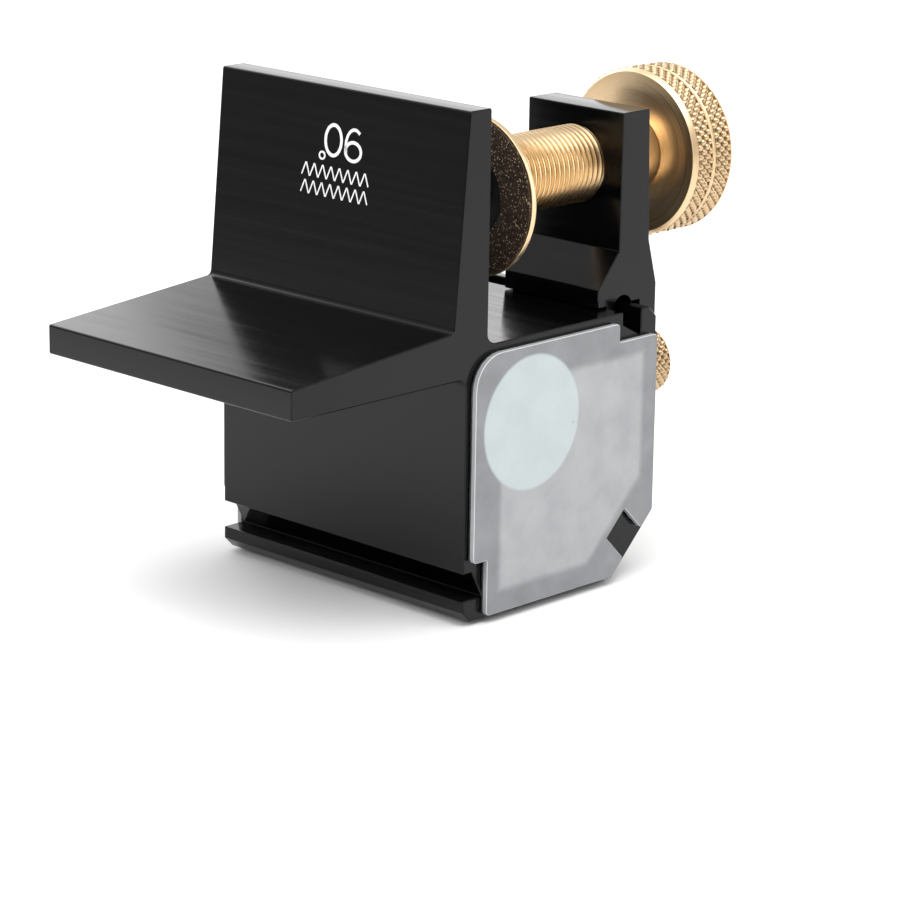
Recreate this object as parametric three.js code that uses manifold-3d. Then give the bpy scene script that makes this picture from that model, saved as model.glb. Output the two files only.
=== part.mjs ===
// Saw guide for cutting square shoulders: a black extrusion with a fence and a shelf, slip pads over
// magnets at both ends, and a screw clamp on a bracket that slides along the body.
// Millimetres. X runs from the shelf to the clamp knob, Y along the extrusion, Z up. The origin is the
// middle of the box section's underside.
import * as THREE from 'three';
import { mergeVertices } from 'three/addons/utils/BufferGeometryUtils.js';
import Module from 'manifold-3d';

const wasm = await Module();
wasm.setup();

// extrusion
const BOX = 40;
const LENGTH = 50;
const FLANGE_REACH = 33.2;
const FLANGE_TIP = 4.3;
const FLANGE_ROOT = 6.9;
const FLANGE_INSET = 4.25;
const FLANGE_FILLET = 1.5;
const TIP_BREAK = 0.4;
const LIP = 3.35;
const GROOVE_HEIGHT = 3.95;
const GROOVE_DEPTH = 3.9;
const GROOVE_STEP = 1.8;
const LIP_CHAMFER = 1.6;
const CORNER_CHAMFER = 8.3;

// hollow inside the extrusion
const THIN_WALL = 4;
const THICK_WALL = 6.2;
const DIAGONAL_WALL = 7.7;
const MAGNET_AT = 12.4;
const BOSS_RADIUS = 13;

// magnets and slip pads
const MAGNET_RADIUS = 9.8;
const MAGNET_THICKNESS = 5;
const MAGNET_EDGE_BREAK = 0.4;
const POCKET_RADIUS = 10.1;
const POCKET_DEPTH = 5.3;
const PAD = 38.2;
const PAD_LEFT = 0.9;
const PAD_BOTTOM = 0.65;
const PAD_THICKNESS = 0.8;
const GLUE_THICKNESS = 0.2;
const PAD_CORNER_RADIUS = 5.1;
const PAD_NOTCH_LONG = 8.3;
const PAD_NOTCH_DEEP = 2.8;
const PAD_CHAMFER = 8.7;
const PAD_SLOT_WIDTH = 5.45;
const PAD_SLOT_DEPTH = 5.3;

// clamp bracket
const BRACKET_NEAR = 3.6;
const BRACKET_WIDTH = 18.6;
const BRACKET_TOP = 28.3;
const POST_LEFT = 35.5;
const POST_RIGHT = 41.3;
const POST_RIGHT_BASE = 42;
const FOOT_LEFT = 31.05;
const FOOT_HEIGHT = 2.85;
const FOOT_SLOPE_TOP = 8;
const LEG_OUTER = 43.85;
const LEG_BOTTOM = 19.5;
const SHOULDER_LOW = 2.2;
const SHOULDER_HIGH = 8.9;
const RUNNING_GAP = 0.15;
const RELIEF_RADIUS = 2;
const RELIEF_BELOW_TOP = 0.7;

// clamp screw, knob and pressure disc, as distances along X from the box's left face
const SCREW_HEIGHT = 59.75;
const DISC_DROP = 1.9;
const DISC_FRONT = 13.9;
const DISC_BACK = 15;
const DISC_RIM_BACK = 14.75;
const DISC_RADIUS = 11.75;
const DISC_RECESS_RADIUS = 5.85;
const DISC_RECESS_FLOOR = 14.6;
const FACING_THICKNESS = 0.35;
const FACING_RADIUS = 11.55;
const FACING_HOLE = 6;
const BARREL_RADIUS = 5.75;
const BARREL_LEFT = 15.4;
const BARREL_RIGHT = 41.9;
const THREAD_BORE = 5.83;
const HUB_RADIUS = 5.7;
const SPIGOT_RADIUS = 4;
const SPIGOT_RIGHT = 54;
const STUD_BORE = 1.55;
const STUD_BORE_DEPTH = 8;
const KNOB_LEFT = 48.1;
const KNOB_RIGHT = 57;
const KNOB_RADIUS = 12.6;
const KNOB_FACE_RADIUS = 12;
const KNOB_CHAMFER = 0.8;
const KNOB_GROOVE_AT = 52.45;
const KNOB_GROOVE_HALF = 0.35;
const KNOB_GROOVE_DEPTH = 0.35;
const PRESS_GAP = 0.05;

// screw, bush and washer that hold the pressure disc on the clamp screw; the disc floats on them
const DISC_SCREW_RADIUS = 1.5;
const DISC_SCREW_HEAD_RADIUS = 3.8;
const DISC_SCREW_HEAD_LEFT = 13.6;
const DISC_SCREW_HEAD_RIGHT = 14.15;
const DISC_SCREW_END = 22.8;
const DISC_BORE = 3.45;
const BUSH_THICKNESS = 0.35;
const HEX_RADIUS = 1.2;
const HEX_DEPTH = 0.4;
const WASHER_BORE = 1.7;
const WASHER_RADIUS = 5.3;

// lock screw
const LOCK_HEIGHT = 27.3;
const LOCK_STUD_RADIUS = 2;
const LOCK_BORE = 2.08;
const LOCK_STUD_LEFT = 41.2;
const LOCK_STUD_RIGHT = 51.2;
const LOCK_TIP_LEFT = 40.3;
const LOCK_TIP_RADIUS = 1.6;
const LOCK_KNOB_LEFT = 45.6;
const LOCK_KNOB_RIGHT = 53.2;
const LOCK_KNOB_RADIUS = 5.2;
const LOCK_COLLAR_RADIUS = 3.4;
const LOCK_COLLAR_LENGTH = 1.4;
const LOCK_KNOB_CHAMFER = 0.5;

const SEGMENTS = 48;
const ARC_STEPS = 8;
const CLEARANCE = 0.05;
const LEFT = -BOX / 2;
const NEAR = -LENGTH / 2;
const SCREW_Y = NEAR + BRACKET_NEAR + BRACKET_WIDTH / 2;

const finishes = {
  anodised: { color: 0x141416, roughness: 0.38, metalness: 0.6 },
  frosted: { color: 0xb9bfc2, roughness: 0.55, metalness: 0 },
  glue: { color: 0xd9dcdc, roughness: 0.8, metalness: 0 },
  magnet: { color: 0xc8d7dc, roughness: 0.35, metalness: 0.8 },
  brass: { color: 0xc8a164, roughness: 0.28, metalness: 1 },
  grit: { color: 0x5a4632, roughness: 0.9, metalness: 0 },
  black_steel: { color: 0x1b1b1c, roughness: 0.45, metalness: 0.9 },
  black_plastic: { color: 0x161616, roughness: 0.6, metalness: 0 },
  bronze: { color: 0xa5763d, roughness: 0.4, metalness: 1 },
  nylon: { color: 0xe6e2d6, roughness: 0.6, metalness: 0 },
};
const materials = {};
for (const [name, settings] of Object.entries(finishes)) {
  materials[name] = new THREE.MeshStandardMaterial({ name, ...settings });
}

const group = new THREE.Group();
group.name = 'dovetail_jig';

function welded(geometry) {
  geometry.deleteAttribute('normal');
  geometry.deleteAttribute('uv');
  return mergeVertices(geometry, 1e-4);
}

function addPiece(name, geometry, finish) {
  const mesh = new THREE.Mesh(geometry, materials[finish]);
  mesh.name = name;
  geometry.computeVertexNormals();
  group.add(mesh);
}

function toSolid(geometry) {
  const source = welded(geometry);
  return new wasm.Manifold(new wasm.Mesh({
    numProp: 3,
    vertProperties: new Float32Array(source.attributes.position.array),
    triVerts: new Uint32Array(source.index.array),
  }));
}

function toGeometry(solid) {
  const mesh = solid.getMesh();
  const geometry = new THREE.BufferGeometry();
  geometry.setAttribute('position', new THREE.BufferAttribute(new Float32Array(mesh.vertProperties), 3));
  geometry.setIndex(new THREE.BufferAttribute(new Uint32Array(mesh.triVerts), 1));
  return geometry;
}

function cut(geometry, tools) {
  return toGeometry(tools.reduce((solid, tool) => solid.subtract(toSolid(tool)), toSolid(geometry)));
}

// Points of an arc from one angle to another, both in radians.
function arc(cx, cz, radius, from, to, steps = ARC_STEPS) {
  return Array.from({ length: steps + 1 }, (unused, i) => {
    const angle = from + (to - from) * i / steps;
    return [cx + radius * Math.cos(angle), cz + radius * Math.sin(angle)];
  });
}

// Reflects a point of the section in the box's diagonal from top left to bottom right.
const mirrored = ([x, z]) => [BOX - z, BOX - x];

// Closes half a section with its own mirror image.
const bothHalves = (half) => [...half, ...half.slice().reverse().map(mirrored)];

// A prism along Y from near to far, from section points measured from the box's lower left corner.
function prism(points, near, far, holes = []) {
  const toVectors = (list) => list.map(([x, z]) => new THREE.Vector2(x + LEFT, z));
  const shape = new THREE.Shape(toVectors(points));
  shape.holes = holes.map((hole) => new THREE.Path(toVectors(hole)));
  const geometry = new THREE.ExtrudeGeometry(shape, { depth: far - near, bevelEnabled: false });
  geometry.rotateX(Math.PI / 2);
  geometry.translate(0, far, 0);
  return welded(geometry);
}

// A turned piece about an axis along X; the profile holds [distance from the box's left face, radius].
function turned(profile, y, z, segments = SEGMENTS) {
  const points = profile.map(([x, radius]) => new THREE.Vector2(radius, x + LEFT));
  const geometry = new THREE.LatheGeometry(points, segments);
  geometry.rotateZ(-Math.PI / 2);
  geometry.translate(0, y, z);
  return welded(geometry);
}

const rod = (left, right, radius, y, z, segments) =>
  turned([[left, 0], [left, radius], [right, radius], [right, 0]], y, z, segments);

const ring = (left, right, inner, outer, y, z) =>
  turned([[left, inner], [left, outer], [right, outer], [right, inner], [left, inner]], y, z);

// A turned piece about an axis along Y, from near to far.
function turnedAlongY(radius, near, far, x, z, edgeBreak = 0) {
  const points = [[0, near], [radius - edgeBreak, near], [radius, near + edgeBreak],
    [radius, far - edgeBreak], [radius - edgeBreak, far], [0, far]];
  const profile = points.filter(([r, y], i) => i === 0 || r !== points[i - 1][0] || y !== points[i - 1][1]);
  const geometry = new THREE.LatheGeometry(profile.map(([r, y]) => new THREE.Vector2(r, y)), SEGMENTS);
  geometry.translate(x + LEFT, 0, z);
  return welded(geometry);
}

// extrusion: one half of the section, from the corner between the flanges to the bottom right chamfer
const shelfUnder = BOX - FLANGE_INSET;
const sectionHalf = [
  [FLANGE_INSET - FLANGE_ROOT, BOX - FLANGE_INSET + FLANGE_ROOT],
  [-FLANGE_REACH + TIP_BREAK, shelfUnder + FLANGE_TIP],
  [-FLANGE_REACH, shelfUnder + FLANGE_TIP - TIP_BREAK],
  [-FLANGE_REACH, shelfUnder + TIP_BREAK],
  [-FLANGE_REACH + TIP_BREAK, shelfUnder],
  ...arc(-FLANGE_FILLET, shelfUnder - FLANGE_FILLET, FLANGE_FILLET, Math.PI / 2, 0),
  [0, LIP + GROOVE_HEIGHT],
  [GROOVE_STEP, LIP + GROOVE_HEIGHT],
  [GROOVE_DEPTH, LIP],
  [0, LIP],
  [0, LIP_CHAMFER],
  [LIP_CHAMFER, 0],
  [BOX - CORNER_CHAMFER, 0],
];

// hollow: thin walls right and below, thick walls behind the grooves, a round boss about the magnets
const diagonalReach = BOX - CORNER_CHAMFER - DIAGONAL_WALL * Math.SQRT2;
const bossCentre = [MAGNET_AT, BOX - MAGNET_AT];
const bossStart = Math.PI + Math.acos((MAGNET_AT - THICK_WALL) / BOSS_RADIUS);
const bossMiddle = 7 * Math.PI / 4;
const hollowHalf = [
  ...arc(...bossCentre, BOSS_RADIUS, bossStart, bossMiddle, 2 * ARC_STEPS).reverse(),
  [THICK_WALL, THIN_WALL],
  [diagonalReach + THIN_WALL, THIN_WALL],
];
const hollow = [...hollowHalf, ...hollowHalf.slice(1).reverse().map(mirrored)];

const pockets = [[NEAR - 1, NEAR + POCKET_DEPTH], [-NEAR - POCKET_DEPTH, -NEAR + 1]].map(
  ([near, far]) => turnedAlongY(POCKET_RADIUS, near, far, ...bossCentre));
addPiece('guide_body', cut(prism(bothHalves(sectionHalf), NEAR, -NEAR, [hollow]), pockets), 'anodised');

// slip pads and the glue film behind each, outside the ends of the extrusion
function padOutline() {
  const chamferMiddle = [PAD - PAD_CHAMFER / 2, PAD_CHAMFER / 2];
  const along = PAD_SLOT_WIDTH / 2 * Math.SQRT1_2;
  const inward = PAD_SLOT_DEPTH * Math.SQRT1_2;
  const slotFoot = [chamferMiddle[0] - along, chamferMiddle[1] - along];
  const slotHead = [chamferMiddle[0] + along, chamferMiddle[1] + along];
  const corner = arc(PAD_CORNER_RADIUS, PAD - PAD_CORNER_RADIUS, PAD_CORNER_RADIUS, Math.PI / 2, Math.PI);
  const outline = [
    ...corner,
    [0, PAD_NOTCH_LONG],
    [PAD_NOTCH_DEEP, PAD_NOTCH_LONG],
    [PAD_NOTCH_DEEP, 0],
    [PAD - PAD_CHAMFER, 0],
    slotFoot,
    [slotFoot[0] - inward, slotFoot[1] + inward],
    [slotHead[0] - inward, slotHead[1] + inward],
    slotHead,
    [PAD, PAD_CHAMFER],
    [PAD, PAD - PAD_NOTCH_DEEP],
    [PAD - PAD_NOTCH_LONG, PAD - PAD_NOTCH_DEEP],
    [PAD - PAD_NOTCH_LONG, PAD],
  ];
  return outline.map(([x, z]) => [x + PAD_LEFT, z + PAD_BOTTOM]);
}
for (const [end, side] of [['near', -1], ['far', 1]]) {
  const layer = (from, to) => {
    const ends = [side * (LENGTH / 2 + from), side * (LENGTH / 2 + to)].sort((a, b) => a - b);
    return prism(padOutline(), ...ends);
  };
  const padBack = 2 * CLEARANCE + GLUE_THICKNESS;
  addPiece(`pad_glue_${end}`, layer(CLEARANCE, CLEARANCE + GLUE_THICKNESS), 'glue');
  addPiece(`slip_pad_${end}`, layer(padBack, padBack + PAD_THICKNESS), 'frosted');
  const magnetEnds = [side * (LENGTH / 2 - CLEARANCE - MAGNET_THICKNESS), side * (LENGTH / 2 - CLEARANCE)];
  magnetEnds.sort((a, b) => a - b);
  addPiece(`magnet_${end}`, turnedAlongY(MAGNET_RADIUS, ...magnetEnds, ...bossCentre, MAGNET_EDGE_BREAK),
    'magnet');
}

// clamp bracket: a post on a foot, a tongue in the upper groove with a round relief over the lip's
// corner, and a leg down the right wall
const grooveWallRight = BOX - LIP;
const grooveWallLeft = grooveWallRight - GROOVE_HEIGHT;
const bracketFloor = BOX + RUNNING_GAP;
const reliefHeight = BOX - RELIEF_BELOW_TOP;
const reliefEnd = Math.asin((bracketFloor - reliefHeight) / RELIEF_RADIUS) - 2 * Math.PI;
const bracketOutline = [
  [POST_LEFT + TIP_BREAK, BOX + BRACKET_TOP],
  [POST_LEFT, BOX + BRACKET_TOP - TIP_BREAK],
  [POST_LEFT, BOX + FOOT_SLOPE_TOP],
  [FOOT_LEFT, BOX + FOOT_HEIGHT],
  [FOOT_LEFT, bracketFloor],
  [grooveWallLeft + RUNNING_GAP, bracketFloor],
  [grooveWallLeft + RUNNING_GAP, BOX - GROOVE_STEP + RUNNING_GAP],
  [grooveWallRight - RUNNING_GAP - TIP_BREAK, BOX - GROOVE_DEPTH + 2 * RUNNING_GAP],
  [grooveWallRight - RUNNING_GAP, BOX - GROOVE_DEPTH + 2 * RUNNING_GAP],
  ...arc(grooveWallRight - RUNNING_GAP, reliefHeight, RELIEF_RADIUS, -Math.PI / 2, reliefEnd, 2 * ARC_STEPS),
  [BOX + RUNNING_GAP, bracketFloor],
  [BOX + RUNNING_GAP, LEG_BOTTOM + TIP_BREAK],
  [BOX + RUNNING_GAP + TIP_BREAK, LEG_BOTTOM],
  [LEG_OUTER - TIP_BREAK, LEG_BOTTOM],
  [LEG_OUTER, LEG_BOTTOM + TIP_BREAK],
  [LEG_OUTER, BOX + SHOULDER_LOW],
  [POST_RIGHT_BASE, BOX + SHOULDER_HIGH],
  [POST_RIGHT, BOX + BRACKET_TOP - TIP_BREAK],
  [POST_RIGHT - TIP_BREAK, BOX + BRACKET_TOP],
];
const bracketNear = NEAR + BRACKET_NEAR;
addPiece('clamp_bracket', cut(prism(bracketOutline, bracketNear, bracketNear + BRACKET_WIDTH), [
  rod(POST_LEFT - 1, POST_RIGHT_BASE + 1, THREAD_BORE, SCREW_Y, SCREW_HEIGHT),
  rod(BOX - 1, LEG_OUTER + 1, LOCK_BORE, SCREW_Y, LOCK_HEIGHT),
]), 'anodised');

// pressure disc: a thin plate with a shallow recess; it hangs a little low on its oversize bore
const DISC_HEIGHT = SCREW_HEIGHT - DISC_DROP;
const facingBack = DISC_FRONT - CLEARANCE;
addPiece('grip_facing',
  ring(facingBack - FACING_THICKNESS, facingBack, FACING_HOLE, FACING_RADIUS, SCREW_Y, DISC_HEIGHT), 'grit');
addPiece('pressure_disc', turned([
  [DISC_FRONT, DISC_RECESS_RADIUS],
  [DISC_FRONT, DISC_RADIUS],
  [DISC_RIM_BACK, DISC_RADIUS],
  [DISC_BACK, DISC_RADIUS - TIP_BREAK],
  [DISC_BACK, DISC_BORE],
  [DISC_RECESS_FLOOR, DISC_BORE],
  [DISC_RECESS_FLOOR, DISC_RECESS_RADIUS],
  [DISC_FRONT, DISC_RECESS_RADIUS],
], SCREW_Y, DISC_HEIGHT), 'brass');
const bushRight = DISC_RECESS_FLOOR - CLEARANCE;
addPiece('disc_bush', ring(bushRight - BUSH_THICKNESS, bushRight, DISC_BORE, DISC_RECESS_RADIUS - CLEARANCE,
  SCREW_Y, DISC_HEIGHT), 'black_plastic');

const hexSocket = rod(DISC_SCREW_HEAD_LEFT - 1, DISC_SCREW_HEAD_LEFT + HEX_DEPTH, HEX_RADIUS, SCREW_Y,
  SCREW_HEIGHT, 6);
addPiece('disc_screw', cut(turned([
  [DISC_SCREW_HEAD_LEFT, 0],
  [DISC_SCREW_HEAD_LEFT, DISC_SCREW_HEAD_RADIUS * 0.75],
  [(DISC_SCREW_HEAD_LEFT + DISC_SCREW_HEAD_RIGHT) / 2, DISC_SCREW_HEAD_RADIUS],
  [DISC_SCREW_HEAD_RIGHT, DISC_SCREW_HEAD_RADIUS],
  [DISC_SCREW_HEAD_RIGHT, DISC_SCREW_RADIUS],
  [DISC_SCREW_END, DISC_SCREW_RADIUS],
  [DISC_SCREW_END, 0],
], SCREW_Y, SCREW_HEIGHT, SEGMENTS / 2), [hexSocket]), 'black_steel');
addPiece('thrust_washer', ring(DISC_BACK + CLEARANCE, BARREL_LEFT - CLEARANCE, WASHER_BORE, WASHER_RADIUS,
  SCREW_Y, SCREW_HEIGHT), 'bronze');

// clamp screw: threaded barrel, smooth hub, and a spigot inside the knob
addPiece('clamp_screw', turned([
  [BARREL_LEFT + STUD_BORE_DEPTH, 0],
  [BARREL_LEFT + STUD_BORE_DEPTH, STUD_BORE],
  [BARREL_LEFT, STUD_BORE],
  [BARREL_LEFT, BARREL_RADIUS - TIP_BREAK],
  [BARREL_LEFT + TIP_BREAK, BARREL_RADIUS],
  [BARREL_RIGHT, BARREL_RADIUS],
  [BARREL_RIGHT + TIP_BREAK, HUB_RADIUS],
  [KNOB_LEFT - PRESS_GAP, HUB_RADIUS],
  [KNOB_LEFT - PRESS_GAP, SPIGOT_RADIUS],
  [SPIGOT_RIGHT, SPIGOT_RADIUS],
  [SPIGOT_RIGHT, 0],
], SCREW_Y, SCREW_HEIGHT), 'brass');
const grooveFloor = KNOB_RADIUS - KNOB_GROOVE_DEPTH;
addPiece('clamp_knob', turned([
  [SPIGOT_RIGHT + PRESS_GAP, 0],
  [SPIGOT_RIGHT + PRESS_GAP, SPIGOT_RADIUS + PRESS_GAP],
  [KNOB_LEFT, SPIGOT_RADIUS + PRESS_GAP],
  [KNOB_LEFT, KNOB_FACE_RADIUS],
  [KNOB_LEFT + KNOB_CHAMFER, KNOB_RADIUS],
  [KNOB_GROOVE_AT - KNOB_GROOVE_HALF, KNOB_RADIUS],
  [KNOB_GROOVE_AT - KNOB_GROOVE_HALF, grooveFloor],
  [KNOB_GROOVE_AT + KNOB_GROOVE_HALF, grooveFloor],
  [KNOB_GROOVE_AT + KNOB_GROOVE_HALF, KNOB_RADIUS],
  [KNOB_RIGHT - KNOB_CHAMFER, KNOB_RADIUS],
  [KNOB_RIGHT, KNOB_FACE_RADIUS],
  [KNOB_RIGHT, 0],
], SCREW_Y, SCREW_HEIGHT), 'brass');

// lock screw: soft tip, threaded stud and knurled knob
addPiece('lock_tip', rod(LOCK_TIP_LEFT, LOCK_STUD_LEFT - CLEARANCE, LOCK_TIP_RADIUS, SCREW_Y, LOCK_HEIGHT,
  SEGMENTS / 2), 'nylon');
addPiece('lock_stud', rod(LOCK_STUD_LEFT, LOCK_STUD_RIGHT, LOCK_STUD_RADIUS, SCREW_Y, LOCK_HEIGHT,
  SEGMENTS / 2), 'brass');
addPiece('lock_knob', turned([
  [LOCK_STUD_RIGHT + PRESS_GAP, 0],
  [LOCK_STUD_RIGHT + PRESS_GAP, LOCK_STUD_RADIUS + PRESS_GAP],
  [LOCK_KNOB_LEFT, LOCK_STUD_RADIUS + PRESS_GAP],
  [LOCK_KNOB_LEFT, LOCK_COLLAR_RADIUS],
  [LOCK_KNOB_LEFT + LOCK_COLLAR_LENGTH, LOCK_COLLAR_RADIUS],
  [LOCK_KNOB_LEFT + LOCK_COLLAR_LENGTH, LOCK_KNOB_RADIUS - LOCK_KNOB_CHAMFER],
  [LOCK_KNOB_LEFT + LOCK_COLLAR_LENGTH + LOCK_KNOB_CHAMFER, LOCK_KNOB_RADIUS],
  [LOCK_KNOB_RIGHT - LOCK_KNOB_CHAMFER, LOCK_KNOB_RADIUS],
  [LOCK_KNOB_RIGHT, LOCK_KNOB_RADIUS - LOCK_KNOB_CHAMFER],
  [LOCK_KNOB_RIGHT, 0],
], SCREW_Y, LOCK_HEIGHT), 'brass');

export default group;
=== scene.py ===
import math

import bmesh
import bpy
import numpy as np
from mathutils import Matrix, Vector
from mathutils.geometry import tessellate_polygon


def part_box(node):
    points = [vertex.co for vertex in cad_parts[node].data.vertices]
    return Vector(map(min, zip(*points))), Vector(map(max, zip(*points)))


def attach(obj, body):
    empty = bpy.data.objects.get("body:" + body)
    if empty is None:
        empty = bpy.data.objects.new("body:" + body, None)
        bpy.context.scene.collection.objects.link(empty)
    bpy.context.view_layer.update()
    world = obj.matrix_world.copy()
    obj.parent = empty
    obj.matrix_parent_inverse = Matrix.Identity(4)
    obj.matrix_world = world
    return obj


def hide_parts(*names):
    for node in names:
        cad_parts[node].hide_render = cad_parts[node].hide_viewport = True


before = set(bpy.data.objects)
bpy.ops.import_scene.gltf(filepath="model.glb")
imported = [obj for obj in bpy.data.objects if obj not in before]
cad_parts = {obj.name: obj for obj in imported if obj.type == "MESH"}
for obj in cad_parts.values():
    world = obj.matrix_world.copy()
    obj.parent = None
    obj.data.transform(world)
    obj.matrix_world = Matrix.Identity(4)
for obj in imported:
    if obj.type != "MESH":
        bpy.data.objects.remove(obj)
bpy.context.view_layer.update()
bpy.context.scene.view_settings.view_transform = "Standard"

# ---------------------------------------------------------------- sizes shared by several pieces
# Millimetres and degrees. x and z count from the box's lower left edge, y from the middle of its length.
MM = 0.001
MICRON = 0.000001
BOX = 40.0
LENGTH = 50.0
LEFT = -BOX / 2
NEAR = -LENGTH / 2
LIP = 3.35
GROOVE_HEIGHT, GROOVE_DEPTH, GROOVE_STEP = 3.95, 3.9, 1.8
CORNER_CHAMFER = 8.3
THIN_WALL, THICK_WALL, DIAGONAL_WALL = 4.0, 6.2, 7.7
# x minus z all along the hollow's diagonal wall
HOLLOW_DIAGONAL = BOX - CORNER_CHAMFER - DIAGONAL_WALL * math.sqrt(2)
MAGNET = (12.4, 27.6)
MAGNET_RADIUS = 9.8
SCREW_Y, SCREW_Z, LOCK_Z = -12.1, 59.75, 27.3
DISC_DROP = 1.9
DISC_Z = SCREW_Z - DISC_DROP
SHARP = 30


def corners(node):
    """Lowest and highest corner of a CAD node in millimetres."""
    low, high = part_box(node)
    return np.array(low) / MM, np.array(high) / MM


# ---------------------------------------------------------------- camera
# its place is in millimetres from the frame's origin
AZIMUTH, ELEVATION, ROLL = -46.04, 15.81, 0.896
CAMERA_AT = (-348.09, -338.42, 154.10)
LENS, SENSOR = 135.68, 36


def place_camera():
    azimuth, elevation, roll = (math.radians(v) for v in (AZIMUTH, ELEVATION, ROLL))
    back = Vector((math.sin(azimuth) * math.cos(elevation), -math.cos(azimuth) * math.cos(elevation),
                   math.sin(elevation)))
    level = Vector((0, 0, 1)).cross(back).normalized()
    upright = back.cross(level)
    right = math.cos(roll) * level + math.sin(roll) * upright
    up = -math.sin(roll) * level + math.cos(roll) * upright
    data = bpy.data.cameras.new("camera")
    data.lens = LENS
    data.sensor_width = SENSOR
    data.clip_start = 0.01
    camera = bpy.data.objects.new("camera", data)
    turn = Matrix((right, up, back)).transposed().to_4x4()
    camera.matrix_world = Matrix.Translation(Vector(CAMERA_AT) * MM) @ turn
    bpy.context.scene.collection.objects.link(camera)
    bpy.context.scene.camera = camera


place_camera()


# ---------------------------------------------------------------- mesh helpers (millimetres)
def linked_mesh(name, verts, faces, weld=False):
    """A new object in the scene, with its faces turned outwards."""
    mesh = bpy.data.meshes.new(name)
    mesh.from_pydata([tuple(np.array(v) * MM) for v in verts], [], faces)
    bm = bmesh.new()
    bm.from_mesh(mesh)
    if weld:
        bmesh.ops.remove_doubles(bm, verts=bm.verts, dist=1e-7)
        bmesh.ops.dissolve_degenerate(bm, edges=bm.edges, dist=1e-7)
    bmesh.ops.recalc_face_normals(bm, faces=bm.faces)
    bm.to_mesh(mesh)
    bm.free()
    obj = bpy.data.objects.new(name, mesh)
    bpy.context.scene.collection.objects.link(obj)
    return obj


def mesh_object(name, verts, faces, body, slot, material, replaced=(), sharp=SHARP):
    """A visible piece that rides on a body and stands in for the CAD nodes it replaces."""
    obj = linked_mesh(name, verts, faces, weld=True)
    obj.data.materials.append(material)
    shade(obj.data, sharp)
    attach(obj, body)
    if replaced:
        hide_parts(*replaced)
    return obj


def shade(mesh, sharp=SHARP):
    """Smooth faces, with sharp edges where the surface turns by more than an angle in degrees."""
    mesh.polygons.foreach_set("use_smooth", [True] * len(mesh.polygons))
    bm = bmesh.new()
    bm.from_mesh(mesh)
    limit = math.radians(sharp)
    for edge in bm.edges:
        edge.smooth = len(edge.link_faces) == 2 and edge.calc_face_angle(0) < limit
    bm.to_mesh(mesh)
    bm.free()


def cutter(verts, faces):
    """A solid to take away from a piece."""
    return linked_mesh("cutter", verts, faces)


def cut(obj, *tools):
    """Takes the tools away from the piece, removes them and shades the piece again."""
    for tool in tools:
        modifier = obj.modifiers.new("cut", "BOOLEAN")
        modifier.object, modifier.operation, modifier.solver = tool, "DIFFERENCE", "EXACT"
        bpy.context.view_layer.update()
        graph = bpy.context.evaluated_depsgraph_get()
        result = bpy.data.meshes.new_from_object(obj.evaluated_get(graph))
        obj.modifiers.clear()
        obj.data = result
        bpy.data.objects.remove(tool)
    shade(obj.data)


def rounded(points, radius, steps=3):
    """The closed outline with each corner rounded; radius is one number or one per corner."""
    n = len(points)
    radii = radius if hasattr(radius, "__len__") else [radius] * n
    straight = 0.03
    longest_share = 0.45
    out = []
    for i in range(n):
        p = np.array(points[i], float)
        before = np.array(points[i - 1], float) - p
        after = np.array(points[(i + 1) % n], float) - p
        length_before, length_after = np.linalg.norm(before), np.linalg.norm(after)
        before, after = before / length_before, after / length_after
        half = math.acos(max(-1.0, min(1.0, float(before @ after)))) / 2
        if radii[i] <= 0 or abs(half - math.pi / 2) < straight:
            out.append(tuple(p))
            continue
        back_off = min(radii[i] / math.tan(half), longest_share * length_before, longest_share * length_after)
        real = back_off * math.tan(half)
        start, end = p + before * back_off, p + after * back_off
        middle = (before + after) / np.linalg.norm(before + after)
        centre = p + middle * real / math.sin(half)
        first, last = (math.atan2(*(q - centre)[::-1]) for q in (start, end))
        turn = (last - first + math.pi) % (2 * math.pi) - math.pi
        count = max(2, round(steps * abs(turn) / (math.pi / 2)) + 1)
        for k in range(count + 1):
            angle = first + turn * k / count
            out.append((centre[0] + real * math.cos(angle), centre[1] + real * math.sin(angle)))
    return out


def rounded_pairs(pairs, steps):
    """The closed outline of a list of (corner, radius) pairs."""
    return rounded([corner for corner, _ in pairs], [radius for _, radius in pairs], steps)


def inset(points, distance):
    """The outline moved inwards (a hole's outwards, when the distance is negative) by a small distance."""
    p = np.array(points, float)
    area = 0.5 * np.sum(p[:, 0] * np.roll(p[:, 1], -1) - np.roll(p[:, 0], -1) * p[:, 1])
    ahead = np.roll(p, -1, 0) - p
    ahead /= np.linalg.norm(ahead, axis=1)[:, None]
    normal = np.stack([-ahead[:, 1], ahead[:, 0]], 1) * np.sign(area)
    mean = normal + np.roll(normal, 1, 0)
    scale = 2 / np.maximum((mean ** 2).sum(1), 1.0)
    return [tuple(q) for q in p + mean * scale[:, None] * distance]


def prism(outline, near, far, edge, holes=()):
    """A prism along Y with broken edges at both ends. The outline's points are (x, z)."""
    verts, faces, caps = [], [], {near: [], far: []}
    for number, loop in enumerate([outline, *holes]):
        n = len(loop)
        small = inset(loop, edge if number == 0 else -edge)
        start = len(verts)
        for points, y in ((small, near), (loop, near + edge), (loop, far - edge), (small, far)):
            verts += [(x + LEFT, y, z) for x, z in points]
        for row in range(3):
            base = start + row * n
            for i in range(n):
                j = (i + 1) % n
                faces.append((base + i, base + j, base + n + j, base + n + i))
        caps[near].append([start + i for i in range(n)])
        caps[far].append([start + 3 * n + i for i in range(n)])
    for cap in caps.values():
        flat = [[Vector((verts[i][0], verts[i][2], 0)) for i in loop] for loop in cap]
        order = [i for loop in cap for i in loop]
        faces += [tuple(order[i] for i in triangle) for triangle in tessellate_polygon(flat)]
    return verts, faces


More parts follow.
